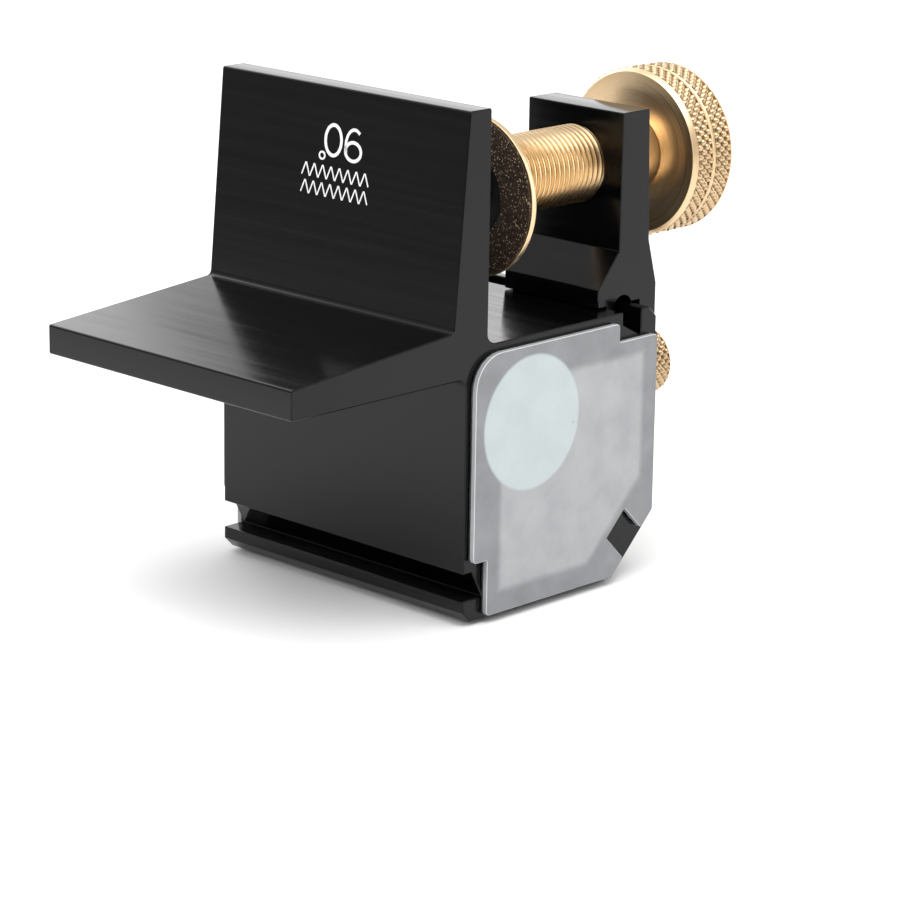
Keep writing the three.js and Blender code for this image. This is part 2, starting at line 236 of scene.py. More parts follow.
def circle(radius, segments=96):
    """A round outline about the magnet's centre."""
    return [(MAGNET[0] + radius * math.cos(t), MAGNET[1] + radius * math.sin(t))
            for t in np.linspace(0, 2 * math.pi, segments, endpoint=False)]


def turned(profile, y, z, segments=96):
    """A solid turned about an axis along X. The profile's points are (x, radius), and it runs from the axis
    to the axis or ends where it starts, as a ring."""
    closed = profile[0] == profile[-1]
    verts, faces, rings = [], [], []
    for x, radius in (profile[:-1] if closed else profile):
        if radius < 1e-6:
            rings.append([len(verts)] * segments)
            verts.append((x + LEFT, y, z))
        else:
            rings.append(list(range(len(verts), len(verts) + segments)))
            for k in range(segments):
                t = 2 * math.pi * k / segments
                verts.append((x + LEFT, y + radius * math.sin(t), z + radius * math.cos(t)))
    for first, second in zip(rings, rings[1:] + (rings[:1] if closed else [])):
        for k in range(segments):
            j = (k + 1) % segments
            quad = [first[k], first[j], second[j], second[k]]
            face = [v for i, v in enumerate(quad) if v not in quad[:i]]
            if len(face) > 2:
                faces.append(tuple(face))
    return verts, faces


def bevelled(profile, radius, steps=2):
    """A turned profile with its corners off the axis rounded."""
    if profile[0] == profile[-1]:
        ring = rounded(profile[:-1], radius, steps)
        return ring + [ring[0]]
    inner = len(profile) - 2
    return rounded(profile, [0] + [radius] * inner + [0], steps)


def joined(*parts):
    """Several meshes as one."""
    verts, faces = [], []
    for part_verts, part_faces in parts:
        offset = len(verts)
        verts += list(part_verts)
        faces += [tuple(v + offset for v in face) for face in part_faces]
    return verts, faces


# ---------------------------------------------------------------- materials
class Nodes:
    """A material's node tree, with short ways to add and link nodes."""

    def __init__(self, name, **sockets):
        self.material = bpy.data.materials.new(name)
        self.material.use_nodes = True
        self.tree = self.material.node_tree
        self.shader = self.tree.nodes["Principled BSDF"]
        for key, value in sockets.items():
            self.socket(self.shader, key).default_value = value

    def socket(self, node, key):
        """An input by its number, as i0 or i1, or by its name with _ for each space."""
        numbered = key[0] == "i" and key[1:].isdigit()
        return node.inputs[int(key[1:]) if numbered else key.replace("_", " ")]

    def add(self, kind, settings=None, **inputs):
        """A node with its settings, and its inputs linked or set."""
        node = self.tree.nodes.new(kind)
        for key, value in (settings or {}).items():
            setattr(node, key, value)
        for key, value in inputs.items():
            if isinstance(value, bpy.types.NodeSocket):
                self.tree.links.new(value, self.socket(node, key))
            else:
                self.socket(node, key).default_value = value
        return node

    def to(self, socket_name, value):
        self.tree.links.new(value, self.shader.inputs[socket_name])

    def place(self, scale=(1, 1, 1)):
        coordinates = self.add("ShaderNodeTexCoord").outputs["Object"]
        return self.add("ShaderNodeMapping", Vector=coordinates, Scale=scale).outputs["Vector"]

    def noise(self, scale, stretch=(1, 1, 1), detail=4.0, roughness=0.55):
        return self.add("ShaderNodeTexNoise", Vector=self.place(stretch), Scale=scale, Detail=detail,
                        Roughness=roughness).outputs["Fac"]

    def cells(self, scale):
        return self.add("ShaderNodeTexVoronoi", {"feature": "F1"}, Vector=self.place(), Scale=scale).outputs

    def axis(self, name):
        coordinates = self.add("ShaderNodeTexCoord").outputs["Object"]
        return self.add("ShaderNodeSeparateXYZ", Vector=coordinates).outputs[name]

    def millimetres(self, name, origin):
        """A coordinate in millimetres from an origin in millimetres."""
        return self.math("DIVIDE", self.math("SUBTRACT", self.axis(name), origin * MM), MM)

    def length(self, first, second):
        """Length of the two offsets together."""
        squares = [self.math("MULTIPLY", value, value) for value in (first, second)]
        return self.math("SQRT", self.math("ADD", *squares))

    def reach(self, y, z):
        """Distance in millimetres from an axis along X."""
        return self.length(self.millimetres("Y", y), self.millimetres("Z", z))

    def rise(self, value, low, high):
        """Nothing up to low, one from high on, and a smooth rise between them."""
        return self.add("ShaderNodeMapRange", {"interpolation_type": "SMOOTHSTEP"}, Value=value,
                        From_Min=low, From_Max=high).outputs["Result"]

    def blend(self, factor, first, second):
        node = self.tree.nodes.new("ShaderNodeMix")
        node.data_type = "RGBA"
        for socket, value in zip((node.inputs[0], node.inputs[6], node.inputs[7]), (factor, first, second)):
            self.tree.links.new(value, socket)
        return node.outputs[2]

    def ramp(self, value, *stops):
        """Colours or grey levels at places along a value."""
        node = self.add("ShaderNodeValToRGB", Fac=value)
        elements = node.color_ramp.elements
        while len(elements) < len(stops):
            elements.new(0.5)
        for element, (position, colour) in zip(elements, stops):
            element.position = position
            element.color = (*colour, 1) if hasattr(colour, "__len__") else (colour, colour, colour, 1)
        return node.outputs["Color"]

    def math(self, operation, first, second=0.0):
        return self.add("ShaderNodeMath", {"operation": operation}, i0=first, i1=second).outputs[0]

    def bump(self, height, strength, distance, after=None):
        inputs = dict(Height=height, Strength=strength, Distance=distance)
        if after is not None:
            inputs["Normal"] = after
        return self.add("ShaderNodeBump", **inputs).outputs["Normal"]


def anodised():
    """Black with fine streaks along the extrusion and a slight cloudiness."""
    m = Nodes("black_anodised", Metallic=0.0, IOR=1.33)
    streaks = m.noise(900, (1.0, 0.02, 1.0), 5)
    cloud = m.noise(60, detail=3)
    tone = m.math("ADD", m.math("MULTIPLY", streaks, 0.6), m.math("MULTIPLY", cloud, 0.4))
    m.to("Base Color", m.ramp(tone, (0.3, (0.0006, 0.0006, 0.0007)), (0.75, (0.0018, 0.0018, 0.002))))
    m.to("Roughness", m.ramp(streaks, (0.3, 0.12), (0.7, 0.2)))
    grain = m.noise(9000, detail=2)
    m.to("Normal", m.bump(streaks, 0.06, 20 * MICRON, m.bump(grain, 0.04, 10 * MICRON)))
    return m.material


def turned_brass():
    """Brass with the rings that a lathe leaves about the clamp screw's axis."""
    m = Nodes("brass_turned", Metallic=1.0, Anisotropic=0.6)
    cloud = m.noise(110, detail=5)
    m.to("Base Color", m.ramp(cloud, (0.3, (0.74, 0.53, 0.31)), (0.7, (0.84, 0.63, 0.39))))
    rings_per_mm = 5.2
    place = m.math("MULTIPLY", m.reach(SCREW_Y, SCREW_Z), rings_per_mm)
    rings = m.add("ShaderNodeTexNoise", {"noise_dimensions": "1D"}, W=place, Scale=1.0, Detail=2.0)
    m.to("Roughness", m.ramp(rings.outputs["Fac"], (0.3, 0.27), (0.7, 0.38)))
    m.to("Normal", m.bump(rings.outputs["Fac"], 0.3, 10 * MICRON))
    m.to("Tangent", m.add("ShaderNodeTangent", {"direction_type": "RADIAL", "axis": "X"}).outputs["Tangent"])
    return m.material


def worked_brass(name, low, high, axis_z, valley, crest):
    """Brass worked into threads or knurls about an axis along X, with painted shade: darker towards the
    valley's radius.
    """
    m = Nodes(name, Metallic=1.0)
    # painted shade: in the valleys the colour is darkened to these shares of the brass colour
    low_shade, high_shade = 0.3, 0.36
    cloud = m.noise(140, detail=5)
    proud = m.rise(m.reach(SCREW_Y, axis_z), valley, crest)
    painted_valley_shade = m.ramp(cloud, (0.3, tuple(low_shade * v for v in low)), (0.7, tuple(high_shade * v for v in high)))
    m.to("Base Color", m.blend(proud, painted_valley_shade, m.ramp(cloud, (0.3, low), (0.7, high))))
    m.to("Roughness", m.ramp(m.noise(1800, detail=3), (0.3, 0.22), (0.7, 0.27)))
    return m.material


def frosted():
    """A thin frosted sheet with painted light: the hollow behind it, as if lit through the sheet, and the
    magnet behind it, as if seen through it, are painted in as softly edged tones, darker over the walls, with
    a painted highlight on its broken edges.
    """
    m = Nodes("frosted_pad", IOR=1.46)
    x, z = m.millimetres("X", LEFT), m.millimetres("Z", 0.0)

    def inside(distance, softness):
        """One well inside a boundary, falling to nothing across it; distance counts inwards."""
        return m.rise(distance, -softness, softness)

    across_diagonal = m.math("SUBTRACT", HOLLOW_DIAGONAL, m.math("SUBTRACT", x, z))
    walls = [m.math("SUBTRACT", x, THICK_WALL), m.math("SUBTRACT", BOX - THIN_WALL, x),
             m.math("SUBTRACT", z, THIN_WALL), m.math("SUBTRACT", BOX - THICK_WALL, z),
             m.math("MULTIPLY", across_diagonal, math.sqrt(0.5))]
    nearest = walls[0]
    for wall in walls[1:]:
        nearest = m.math("MINIMUM", nearest, wall)
    # painted see-through light: masks for where the magnet and the lit hollow behind the sheet are painted
    # into its colour
    from_magnet = m.length(m.math("SUBTRACT", x, MAGNET[0]), m.math("SUBTRACT", z, MAGNET[1]))
    painted_magnet_mask = inside(m.math("SUBTRACT", MAGNET_RADIUS, from_magnet), 0.3)
    painted_backlight_mask = inside(nearest, 0.7)
    cloud = m.noise(190, detail=6)
    specks = m.noise(2600, detail=3)
    # painted light through the sheet: painted shade over the walls, painted lighter over the hollow as if lit
    # from behind, paler and bluer over the magnet as if seen through
    painted_shade_over_wall = m.ramp(cloud, (0.3, (0.19, 0.196, 0.205)), (0.72, (0.25, 0.257, 0.268)))
    painted_backlit_hollow = m.ramp(cloud, (0.3, (0.31, 0.318, 0.33)), (0.72, (0.385, 0.393, 0.405)))
    painted_magnet_seen_through = m.ramp(cloud, (0.3, (0.43, 0.485, 0.49)), (0.72, (0.485, 0.535, 0.54)))
    tone = m.blend(painted_backlight_mask, painted_shade_over_wall, painted_backlit_hollow)
    tone = m.blend(painted_magnet_mask, tone, painted_magnet_seen_through)
    clear_of_fleck = m.ramp(m.cells(170.0)["Distance"], (0.035, 0.0), (0.06, 1.0))
    tone = m.blend(clear_of_fleck, m.ramp(cloud, (0.3, (0.3, 0.32, 0.33)), (0.7, (0.4, 0.42, 0.43))), tone)
    # painted highlight on the sheet's broken edges, and more faintly on its sides, chosen by how the surface
    # turns from the ends
    normal = m.add("ShaderNodeNewGeometry").outputs["Normal"]
    facing = m.math("ABSOLUTE", m.add("ShaderNodeSeparateXYZ", Vector=normal).outputs["Y"])
    painted_edge_highlight = m.ramp(facing, (0.3, 0.3), (0.6, 1.0), (0.8, 1.0), (0.92, 0.0))
    tone = m.blend(painted_edge_highlight, tone, m.ramp(cloud, (0.3, (0.54, 0.56, 0.57)), (0.7, (0.62, 0.64, 0.65))))
    m.to("Base Color", tone)
    m.to("Roughness", m.ramp(specks, (0.3, 0.38), (0.7, 0.55)))
    m.to("Normal", m.bump(specks, 0.2, 20 * MICRON, m.bump(cloud, 0.15, 80 * MICRON)))
    return m.material


def clear_film():
    m = Nodes("glue_film", Transmission_Weight=0.96, IOR=1.45)
    m.to("Base Color", m.ramp(m.noise(260, detail=5), (0.3, (0.86, 0.88, 0.88)), (0.7, (0.93, 0.94, 0.94))))
    m.to("Roughness", m.ramp(m.noise(1800), (0.3, 0.1), (0.7, 0.22)))
    return m.material


def plated():
    m = Nodes("magnet_nickel", Metallic=1.0)
    m.to("Base Color", m.ramp(m.noise(300, detail=4), (0.3, (0.72, 0.8, 0.84)), (0.7, (0.84, 0.9, 0.93))))
    m.to("Roughness", m.ramp(m.noise(1500), (0.3, 0.3), (0.7, 0.42)))
    return m.material


def gritty():
    """Dark grains with a pale one here and there."""
    m = Nodes("grit", Metallic=0.0, IOR=1.3)
    grains = m.cells(6500.0)
    pick = m.add("ShaderNodeSeparateColor", Color=grains["Color"]).outputs["Red"]
    m.to("Base Color", m.ramp(pick, (0.0, (0.012, 0.007, 0.004)), (0.6, (0.032, 0.018, 0.009)),
                              (0.92, (0.05, 0.03, 0.017)), (0.98, (0.5, 0.37, 0.24))))
    m.to("Roughness", m.ramp(pick, (0.3, 0.7), (0.9, 0.3)))
    m.to("Normal", m.bump(grains["Distance"], 0.8, 100 * MICRON))
    return m.material


def plain(name, low, high, rough, cloud_scale, **sockets):
    """Cloudy between two colours, rougher and smoother in small patches."""
    m = Nodes(name, **sockets)
    m.to("Base Color", m.ramp(m.noise(cloud_scale, detail=5), (0.3, low), (0.7, high)))
    m.to("Roughness", m.ramp(m.noise(3000), (0.3, rough - 0.05), (0.7, rough + 0.08)))
    return m


def plain_metal(name, low, high, rough):
    return plain(name, low, high, rough, 400, Metallic=1.0).material


def plain_plastic(name, low, high, rough):
    m = plain(name, low, high, rough, 300)
    m.to("Normal", m.bump(m.noise(4000), 0.1, 20 * MICRON))
    return m.material


BLACK = anodised()
BRASS = turned_brass()
FROSTED = frosted()
BRASS_THREAD = worked_brass("brass_thread", (0.78, 0.56, 0.32), (0.88, 0.67, 0.41), SCREW_Z,
                            valley=5.08, crest=5.55)
BRASS_KNURL = worked_brass("brass_knurl", (0.56, 0.4, 0.23), (0.66, 0.48, 0.29), SCREW_Z,
                           valley=12.05, crest=12.45)
LOCK_THREAD = worked_brass("lock_thread", (0.74, 0.52, 0.29), (0.84, 0.62, 0.37), LOCK_Z,
                           valley=1.65, crest=1.95)
LOCK_KNURL = worked_brass("lock_knurl", (0.5, 0.35, 0.2), (0.6, 0.43, 0.26), LOCK_Z,
                          valley=4.8, crest=5.1)
PLATED = plated()
GRIT = gritty()
BLACK_PLASTIC = plain_plastic("black_plastic", (0.008, 0.008, 0.008), (0.018, 0.018, 0.018), 0.55)
BLACK_STEEL = plain_metal("black_oxide", (0.02, 0.02, 0.022), (0.045, 0.045, 0.05), 0.42)
BRONZE = plain_metal("bearing_bronze", (0.4, 0.24, 0.1), (0.52, 0.32, 0.15), 0.35)
NYLON = plain_plastic("nylon", (0.74, 0.71, 0.62), (0.84, 0.81, 0.73), 0.5)
GLUE = clear_film()
INK = plain_plastic("white_ink", (0.78, 0.78, 0.78), (0.86, 0.86, 0.86), 0.6)


# ---------------------------------------------------------------- extrusion
FLANGE_REACH, FLANGE_TIP, FLANGE_ROOT, FLANGE_INSET, FLANGE_FILLET = 33.2, 4.3, 6.9, 4.25, 1.5
LIP_CHAMFER = 1.6
BOSS_RADIUS = 13.0
POCKET_RADIUS, POCKET_DEPTH = 10.1, 5.3


def mirrored(p):
    """The point across the box's diagonal, about which the section is symmetrical."""
    return (BOX - p[1], BOX - p[0])


def extrusion_outline():
    """Corners from the flanges' inner corner down the left side to the lower right, and their mirror."""
    under = BOX - FLANGE_INSET
    half = [
        ((FLANGE_INSET - FLANGE_ROOT, under + FLANGE_ROOT), 0.9), ((-FLANGE_REACH, under + FLANGE_TIP), 0.35),
        ((-FLANGE_REACH, under), 0.35), ((0, under), FLANGE_FILLET), ((0, LIP + GROOVE_HEIGHT), 0.3),
        ((GROOVE_STEP, LIP + GROOVE_HEIGHT), 0.15), ((GROOVE_DEPTH, LIP), 0.12), ((0, LIP), 0.2),
        ((0, LIP_CHAMFER), 0.2), ((LIP_CHAMFER, 0), 0.2), ((BOX - CORNER_CHAMFER, 0), 0.3)]
    return rounded_pairs(half + [(mirrored(p), radius) for p, radius in reversed(half[1:])], steps=4)


def hollow_outline():
    """The hollow, with a boss about the magnet in its upper left corner."""
    meets_wall = math.pi + math.acos((MAGNET[0] - THICK_WALL) / BOSS_RADIUS)
    boss = [(MAGNET[0] + BOSS_RADIUS * math.cos(t), MAGNET[1] + BOSS_RADIUS * math.sin(t))
            for t in np.linspace(7 * math.pi / 4, meets_wall, 14)]
    half = boss + [(THICK_WALL, THIN_WALL), (HOLLOW_DIAGONAL + THIN_WALL, THIN_WALL)]
    return rounded(half + [mirrored(p) for p in reversed(half[1:])], radius=0.5, steps=2)


def pocket(near, far):
    return cutter(*prism(circle(POCKET_RADIUS), near, far, edge=0.01))


body_mesh = prism(extrusion_outline(), NEAR, -NEAR, edge=0.18, holes=[hollow_outline()])
body = mesh_object("guide_extrusion", *body_mesh, "guide", "anodised", BLACK, ["guide_body"])
cut(body, pocket(NEAR - 1, NEAR + POCKET_DEPTH), pocket(-NEAR - POCKET_DEPTH, -NEAR + 1))

# ---------------------------------------------------------------- printed mark on the fence's outer face
# Here y counts from the near end. The face slopes between these two points (x, z).
INK_DEPTH = 0.03
FACE_LOW, FACE_HIGH = (-2.66, 42.66), (-0.05, 73.2)
FACE_SLOPE = (FACE_HIGH[0] - FACE_LOW[0]) / (FACE_HIGH[1] - FACE_LOW[1])
ORNAMENT_ROWS, ORNAMENT_START = (61.0, 58.5), 18.9
ZIGZAGS, ZIGZAG, ZIGZAG_LEAN, ZIGZAG_HALF = 8, 1.7, 0.35, 0.85


def printed(name, strokes):
    """Ink laid on the sloping face: each stroke is (line of (y, z), width), and a line that ends where it
    starts is a closed ring."""
    verts, faces = [], []
    for points, width in strokes:
        p = np.array(points, float)
        closed = np.allclose(p[0], p[-1])
        p = p[:-1] if closed else p
        before, after = (p - np.roll(p, 1, 0), np.roll(p, -1, 0) - p)
        if not closed:
            before[0], after[-1] = after[0], before[-1]
        across = []
        for arrive, leave in zip(before, after):
            ahead = arrive / np.linalg.norm(arrive) + leave / np.linalg.norm(leave)
            mean = np.array([-ahead[1], ahead[0]])
            across.append(mean / max(0.3, 0.5 * mean @ mean))
        across = np.array(across) * width / 2
        base, n = len(verts), len(p)
        for line in (p + across, p - across):
            for lift in (0.0, INK_DEPTH):
                for y, z in line:
                    face_x = FACE_LOW[0] + FACE_SLOPE * (z - FACE_LOW[1])
                    verts.append((face_x - lift + LEFT, y + NEAR, z))
        for k in range(n if closed else n - 1):
            j = (k + 1) % n
            for one, two in ((0, 1), (1, 3), (3, 2), (2, 0)):
                faces.append((base + one * n + k, base + one * n + j, base + two * n + j, base + two * n + k))
        if not closed:
            for k in (0, n - 1):
                faces.append((base + k, base + n + k, base + 3 * n + k, base + 2 * n + k))
    return mesh_object(name, verts, faces, "guide", "anodised", INK)


def oval(y, z, half_wide, half_high, first=0.0, last=360.0, steps=40):
    t = np.radians(np.linspace(first, last, steps + 1))
    return list(zip(y + half_wide * np.cos(t), z + half_high * np.sin(t)))


def zigzag(z):
    line = []
    for k in range(ZIGZAGS):
        y = ORNAMENT_START + ZIGZAG * k
        for at, side in ((y, 1), (y + ZIGZAG / 2, -1)):
            line += [(at - ZIGZAG_LEAN, z - side * ZIGZAG_HALF), (at + ZIGZAG_LEAN, z + side * ZIGZAG_HALF)]
    return line


# a nine, a nought and a degree ring, upside-down
nought = oval(y=26.0, z=65.7, half_wide=1.6, half_high=2.15)
nine_bowl = oval(y=21.95, z=64.6, half_wide=1.55, half_high=1.3)
nine_tail = oval(y=21.85, z=65.35, half_wide=1.65, half_high=2.35, first=-25, last=128, steps=20)
degree = oval(y=28.1, z=63.3, half_wide=0.55, half_high=0.5)
printed("degree_mark", [(nought, 0.5), (nine_bowl, 0.48), (nine_tail, 0.45), (degree, 0.28)])
printed("joint_ornament", [(zigzag(z), 0.22) for z in ORNAMENT_ROWS])

# ---------------------------------------------------------------- pads, glue and magnets
PAD = 38.2
PAD_AT = np.array([0.9, 0.65])
PAD_CORNER_RADIUS = 5.1
PAD_NOTCH_LONG, PAD_NOTCH_DEEP = 8.3, 2.8
PAD_CHAMFER = 8.7
PAD_SLOT_WIDTH, PAD_SLOT_DEPTH = 5.45, 5.3


def pad_outline():
    """A square with one round corner, a notch at each lip and a slot in its chamfered corner."""
    middle = np.array([PAD - PAD_CHAMFER / 2, PAD_CHAMFER / 2])
    half_slot = PAD_SLOT_WIDTH / 2 * math.sqrt(0.5)
    foot, head = middle - half_slot, middle + half_slot
    into = np.array([-PAD_SLOT_DEPTH, PAD_SLOT_DEPTH]) * math.sqrt(0.5)
    pairs = [
        ((0, PAD), PAD_CORNER_RADIUS), ((0, PAD_NOTCH_LONG), 0.7), ((PAD_NOTCH_DEEP, PAD_NOTCH_LONG), 0.3),
        ((PAD_NOTCH_DEEP, 0), 0.7), ((PAD - PAD_CHAMFER, 0), 0.6), (foot, 0.4), (foot + into, 0.15),
        (head + into, 0.15), (head, 0.4), ((PAD, PAD_CHAMFER), 0.6), ((PAD, PAD - PAD_NOTCH_DEEP), 0.7),
        ((PAD - PAD_NOTCH_LONG, PAD - PAD_NOTCH_DEEP), 0.3), ((PAD - PAD_NOTCH_LONG, PAD), 0.7)]
    return rounded_pairs([(PAD_AT + p, radius) for p, radius in pairs], steps=6)


for end in ("near", "far"):
    for node, name, edge, slot, material in (("pad_glue", "glue_film", 0.02, "glue", GLUE),
                                             ("slip_pad", "slip_pad_sheet", 0.08, "frosted", FROSTED)):
        lo, hi = corners(f"{node}_{end}")
        mesh_object(f"{name}_{end}", *prism(pad_outline(), lo[1], hi[1], edge), "guide", slot, material,
                    [f"{node}_{end}"])

for end in ("near", "far"):
    lo, hi = corners(f"magnet_{end}")
    mesh_object(f"magnet_disc_{end}", *prism(circle(MAGNET_RADIUS), lo[1], hi[1], edge=0.35), "guide",
                "magnet", PLATED, [f"magnet_{end}"])

# ---------------------------------------------------------------- bracket
RUNNING_GAP = 0.15
POST_TOP, POST_LEFT, POST_RIGHT, POST_RIGHT_BASE = BOX + 28.3, 35.5, 41.3, 42.0
FOOT_LEFT, FOOT_TOP, FOOT_SLOPE_TOP = 31.05, BOX + 2.85, BOX + 8.0
LEG_OUTER, LEG_BOTTOM = 43.85, 19.5
SHOULDER_LOW, SHOULDER_HIGH = BOX + 2.2, BOX + 8.9
RELIEF_RADIUS, RELIEF_BELOW_TOP = 2.0, 0.7
SCREW_BORE, SCREW_BORE_END, SCREW_BORE_CHAMFER = 5.85, 41.1, 1.5
LOCK_BORE, LOCK_BORE_START, LOCK_BORE_END, LOCK_BORE_CHAMFER = 2.15, 38.5, 43.5, 1.0


def bracket_outline():
    """Post and foot above the box, tongue in the groove, relief over the lip and leg down the wall."""
    lip_side = BOX - LIP - RUNNING_GAP
    groove_side = BOX - LIP - GROOVE_HEIGHT + RUNNING_GAP
    over_box = BOX + RUNNING_GAP
    tongue = BOX - GROOVE_DEPTH + 2 * RUNNING_GAP
    last = math.asin((RELIEF_BELOW_TOP + RUNNING_GAP) / RELIEF_RADIUS) - 2 * math.pi
    centre_z = BOX - RELIEF_BELOW_TOP
    relief = [((lip_side + RELIEF_RADIUS * math.cos(t), centre_z + RELIEF_RADIUS * math.sin(t)), 0)
              for t in np.linspace(-math.pi / 2, last, 21)]
    return rounded_pairs([
        ((POST_LEFT, POST_TOP), 0.2), ((POST_LEFT, FOOT_SLOPE_TOP), 0.4), ((FOOT_LEFT, FOOT_TOP), 0.4),
        ((FOOT_LEFT, over_box), 0.2), ((groove_side, over_box), 0.1),
        ((groove_side, BOX - GROOVE_STEP + RUNNING_GAP), 0.1), ((lip_side - 0.4, tongue), 0.1),
        ((lip_side, tongue), 0.1), *relief, ((over_box, over_box), 0), ((over_box, LEG_BOTTOM), 0.3),
        ((LEG_OUTER, LEG_BOTTOM), 0.3), ((LEG_OUTER, SHOULDER_LOW), 0.4),
        ((POST_RIGHT_BASE, SHOULDER_HIGH), 0.4), ((POST_RIGHT, POST_TOP), 0.2)], steps=4)


lo, hi = corners("clamp_bracket")
bracket = mesh_object("bracket_post", *prism(bracket_outline(), lo[1], hi[1], edge=0.12), "bracket",
                      "anodised", BLACK, ["clamp_bracket"])
screw_mouth, lock_mouth = SCREW_BORE_END + SCREW_BORE_CHAMFER, LOCK_BORE_END + LOCK_BORE_CHAMFER
screw_hole = [
    (POST_LEFT - SCREW_BORE_CHAMFER, 0), (POST_LEFT - SCREW_BORE_CHAMFER, SCREW_BORE + SCREW_BORE_CHAMFER),
    (POST_LEFT, SCREW_BORE), (POST_LEFT + 0.5, SCREW_BORE), (SCREW_BORE_END, SCREW_BORE),
    (screw_mouth, SCREW_BORE + SCREW_BORE_CHAMFER), (screw_mouth, 0)]
lock_hole = [
    (LOCK_BORE_START, 0), (LOCK_BORE_START, LOCK_BORE), (LOCK_BORE_END, LOCK_BORE),
    (lock_mouth, LOCK_BORE + LOCK_BORE_CHAMFER), (lock_mouth, 0)]
cut(bracket, cutter(*turned(screw_hole, SCREW_Y, SCREW_Z)), cutter(*turned(lock_hole, SCREW_Y, LOCK_Z)))


# ---------------------------------------------------------------- threads and knurls
# one pitch of a thread, as (share of the pitch, height from root to crest)
THREAD_FORM = [(0.0, 1.0), (0.08, 1.0), (0.46, 0.0), (0.54, 0.0), (0.92, 1.0)]


def threaded(start, end, crest, root, pitch, y, z, segments=96, runout=0.5):
    """The skin of a right-handed thread. Its rows follow the helix, and it is open at both ends."""
    turns = int(math.ceil((end - start) / pitch)) + 2
    rows = [(n + position) * pitch for n in range(-1, turns) for position, _ in THREAD_FORM]
    heights = [height for _ in range(-1, turns) for _, height in THREAD_FORM]
    verts, faces = [], []
    count, per_turn = len(rows), len(THREAD_FORM)
    for k in range(segments):
        t = 2 * math.pi * k / segments
        for row, height in zip(rows, heights):
            x = min(max(start + row + pitch * k / segments, start), end)
            fade = min(1.0, (x - start) / (runout * pitch), (end - x) / (runout * pitch))
            radius = crest - (crest - root) * (1 - height) * fade
            if x <= start or x >= end:
                radius = crest
            verts.append((x + LEFT, y + radius * math.sin(t), z + radius * math.cos(t)))
    for k in range(segments):
        for row in range(count - 1):
            here = k * count + row
            beside = here + count if k < segments - 1 else row + per_turn
            if k < segments - 1 or row + per_turn + 1 < count:
                faces.append((here, here + 1, beside + 1, beside))
    return verts, faces


def knurled(start, end, radius, depth, teeth, rows, y, z, fine=6, land=0.3):
    """A band of diamond knurling; each lattice cell is split along the valley that crosses it."""
    columns, levels = 2 * teeth * fine, rows * fine
    verts, faces = [], []
    for i in range(levels + 1):
        u = i / fine
        x = start + (end - start) * i / levels
        for j in range(columns):
            v = j / fine
            distances = [abs((w / 2 + 0.5) % 1 - 0.5) * 2 for w in (u + v, u - v)]
            valleys = [max(0.0, 1 - distance / (1 - land)) for distance in distances]
            reach = radius - depth * (0.5 * max(valleys) + 0.5 * min(valleys))
            t = 2 * math.pi * j / columns
            verts.append((x + LEFT, y + reach * math.sin(t), z + reach * math.cos(t)))
    for i in range(levels):
        for j in range(columns):
            near, near_next = i * columns + j, i * columns + (j + 1) % columns
            far, far_next = near + columns, near_next + columns
            if (i // fine + j // fine) % 2 == 0:
                faces += [(near, near_next, far_next), (near, far_next, far)]
            else:
                faces += [(near, near_next, far), (near_next, far_next, far)]
    return verts, faces


def knurled_knob(name, profile, bands, depth, teeth, rows, y, z, body_name, replaced, knurl):
    """A solid core turned to the knurl's floor, with the knurled bands (start, end, radius) let into it."""
    parts = [turned(profile, y, z, segments=192)]
    for start, end, radius in bands:
        parts.append(knurled(start, end, radius, depth, teeth, rows, y, z))
    knob = mesh_object(name, *joined(*parts), body_name, "brass", BRASS, replaced, sharp=40)
    knob.data.materials.append(knurl)
    for face in knob.data.polygons:
        x = face.center.x / MM - LEFT
        reach = math.hypot(face.center.y / MM - y, face.center.z / MM - z)
        in_band = any(start < x < end and reach > radius - depth - 0.02 for start, end, radius in bands)
        face.material_index = 1 if in_band else 0


# ---------------------------------------------------------------- clamp screw and its knob
BARREL_LEFT, BARREL_RIGHT, BARREL_CREST, BARREL_ROOT, BARREL_CORE = 15.4, 41.9, 5.75, 5.05, 5.0
THREAD_RIGHT, THREAD_PITCH = 42.0, 1.0
HUB_RADIUS = 5.7
SPIGOT_RADIUS, SPIGOT_RIGHT = 4.0, 54.0
STUD_BORE, STUD_BORE_END = 1.55, 23.4
PRESS_GAP = 0.05
KNOB_LEFT, KNOB_RIGHT, KNOB_RADIUS, KNOB_FACE_RADIUS, KNOB_CHAMFER = 48.1, 57.0, 12.6, 12.0, 0.8
KNOB_GROOVE_LEFT, KNOB_GROOVE_RIGHT, KNOB_GROOVE_DEPTH, KNOB_GROOVE_SLOPE = 52.1, 52.8, 0.3, 0.2
KNOB_CORE = KNOB_RADIUS - 0.7
DISH_RADIUS, DISH_DEPTH = 7.5, 0.4
KNURL_DEPTH, KNURL_TEETH, KNURL_ROWS = 0.65, 54, 4

core_profile = bevelled([
    (STUD_BORE_END, 0), (STUD_BORE_END, STUD_BORE), (BARREL_LEFT, STUD_BORE), (BARREL_LEFT, HUB_RADIUS),
    (BARREL_LEFT + 0.15, HUB_RADIUS), (BARREL_LEFT + 0.15, BARREL_CORE), (BARREL_RIGHT, BARREL_CORE),
    (THREAD_RIGHT, HUB_RADIUS), (KNOB_LEFT - PRESS_GAP, HUB_RADIUS), (KNOB_LEFT - PRESS_GAP, SPIGOT_RADIUS),
    (SPIGOT_RIGHT, SPIGOT_RADIUS), (SPIGOT_RIGHT, 0)], radius=0.06)
mesh_object("clamp_screw_turned", *turned(core_profile, SCREW_Y, SCREW_Z), "screw", "brass", BRASS,
            ["clamp_screw"], sharp=40)
thread = threaded(BARREL_LEFT, THREAD_RIGHT, BARREL_CREST, BARREL_ROOT, THREAD_PITCH, SCREW_Y, SCREW_Z)
mesh_object("clamp_screw_thread", *thread, "screw", "brass", BRASS_THREAD, sharp=50)

